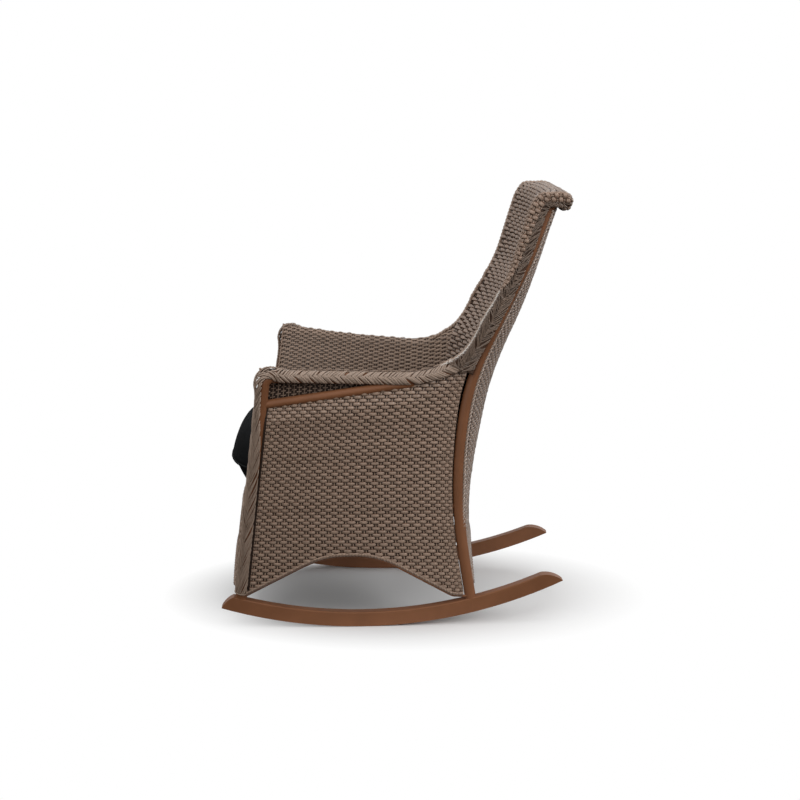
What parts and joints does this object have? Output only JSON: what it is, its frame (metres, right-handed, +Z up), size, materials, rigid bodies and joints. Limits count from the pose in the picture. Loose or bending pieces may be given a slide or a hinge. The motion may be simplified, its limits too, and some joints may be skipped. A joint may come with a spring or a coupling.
{
  "type": "outdoor rocking chair",
  "caption": "High-backed woven rocking chair: bent tube frame on curved rockers, wrapped arms, arched lower panels and a loose dark seat cushion.",
  "frame": {"origin": "on the floor, under the middle of the box that holds the chair", "axes": "+Z up, -Y the way the sitter faces, +X the sitter's left"},
  "size_m": [0.7574, 0.8622, 1.09],
  "materials": {
    "frame_paint": "satin",
    "weave": "matte",
    "braid": "matte",
    "webbing": "matte",
    "cushion_fabric": "matte"
  },
  "bodies": {
    "chair": {"apron_hem_rod": "frame_paint", "arm_braid_left": "braid", "arm_braid_right": "braid", "arm_frame_left": "frame_paint", "arm_frame_right": "frame_paint", "arm_lining_left": "weave", "arm_lining_right": "weave", "back_hem_rod": "frame_paint", "back_lining": "weave", "crest_form_rod": "frame_paint", "crest_rail": "frame_paint", "front_apron": "weave", "outer_back": "weave", "rear_stile_left": "frame_paint", "rear_stile_right": "frame_paint", "rocker_left": "frame_paint", "rocker_right": "frame_paint", "seat_deck": "webbing", "seat_front_rail": "frame_paint", "seat_rear_rail": "frame_paint", "seat_side_rail_left": "frame_paint", "seat_side_rail_right": "frame_paint", "side_hem_rod_left": "frame_paint", "side_hem_rod_right": "frame_paint", "side_panel_left": "weave", "side_panel_right": "weave", "side_rail_left": "frame_paint", "side_rail_right": "frame_paint", "wing_braid_left": "braid", "wing_braid_right": "braid", "wing_rod_left": "frame_paint", "wing_rod_right": "frame_paint"},
    "cushion": {"seat_cushion": "cushion_fabric"}
  },
  "joints": [
    {"name": "cushion_lift", "type": "slide", "parent": "chair", "child": "cushion", "axis": [0, 0, 1], "range_m": [0, 0.3]}
  ]
}
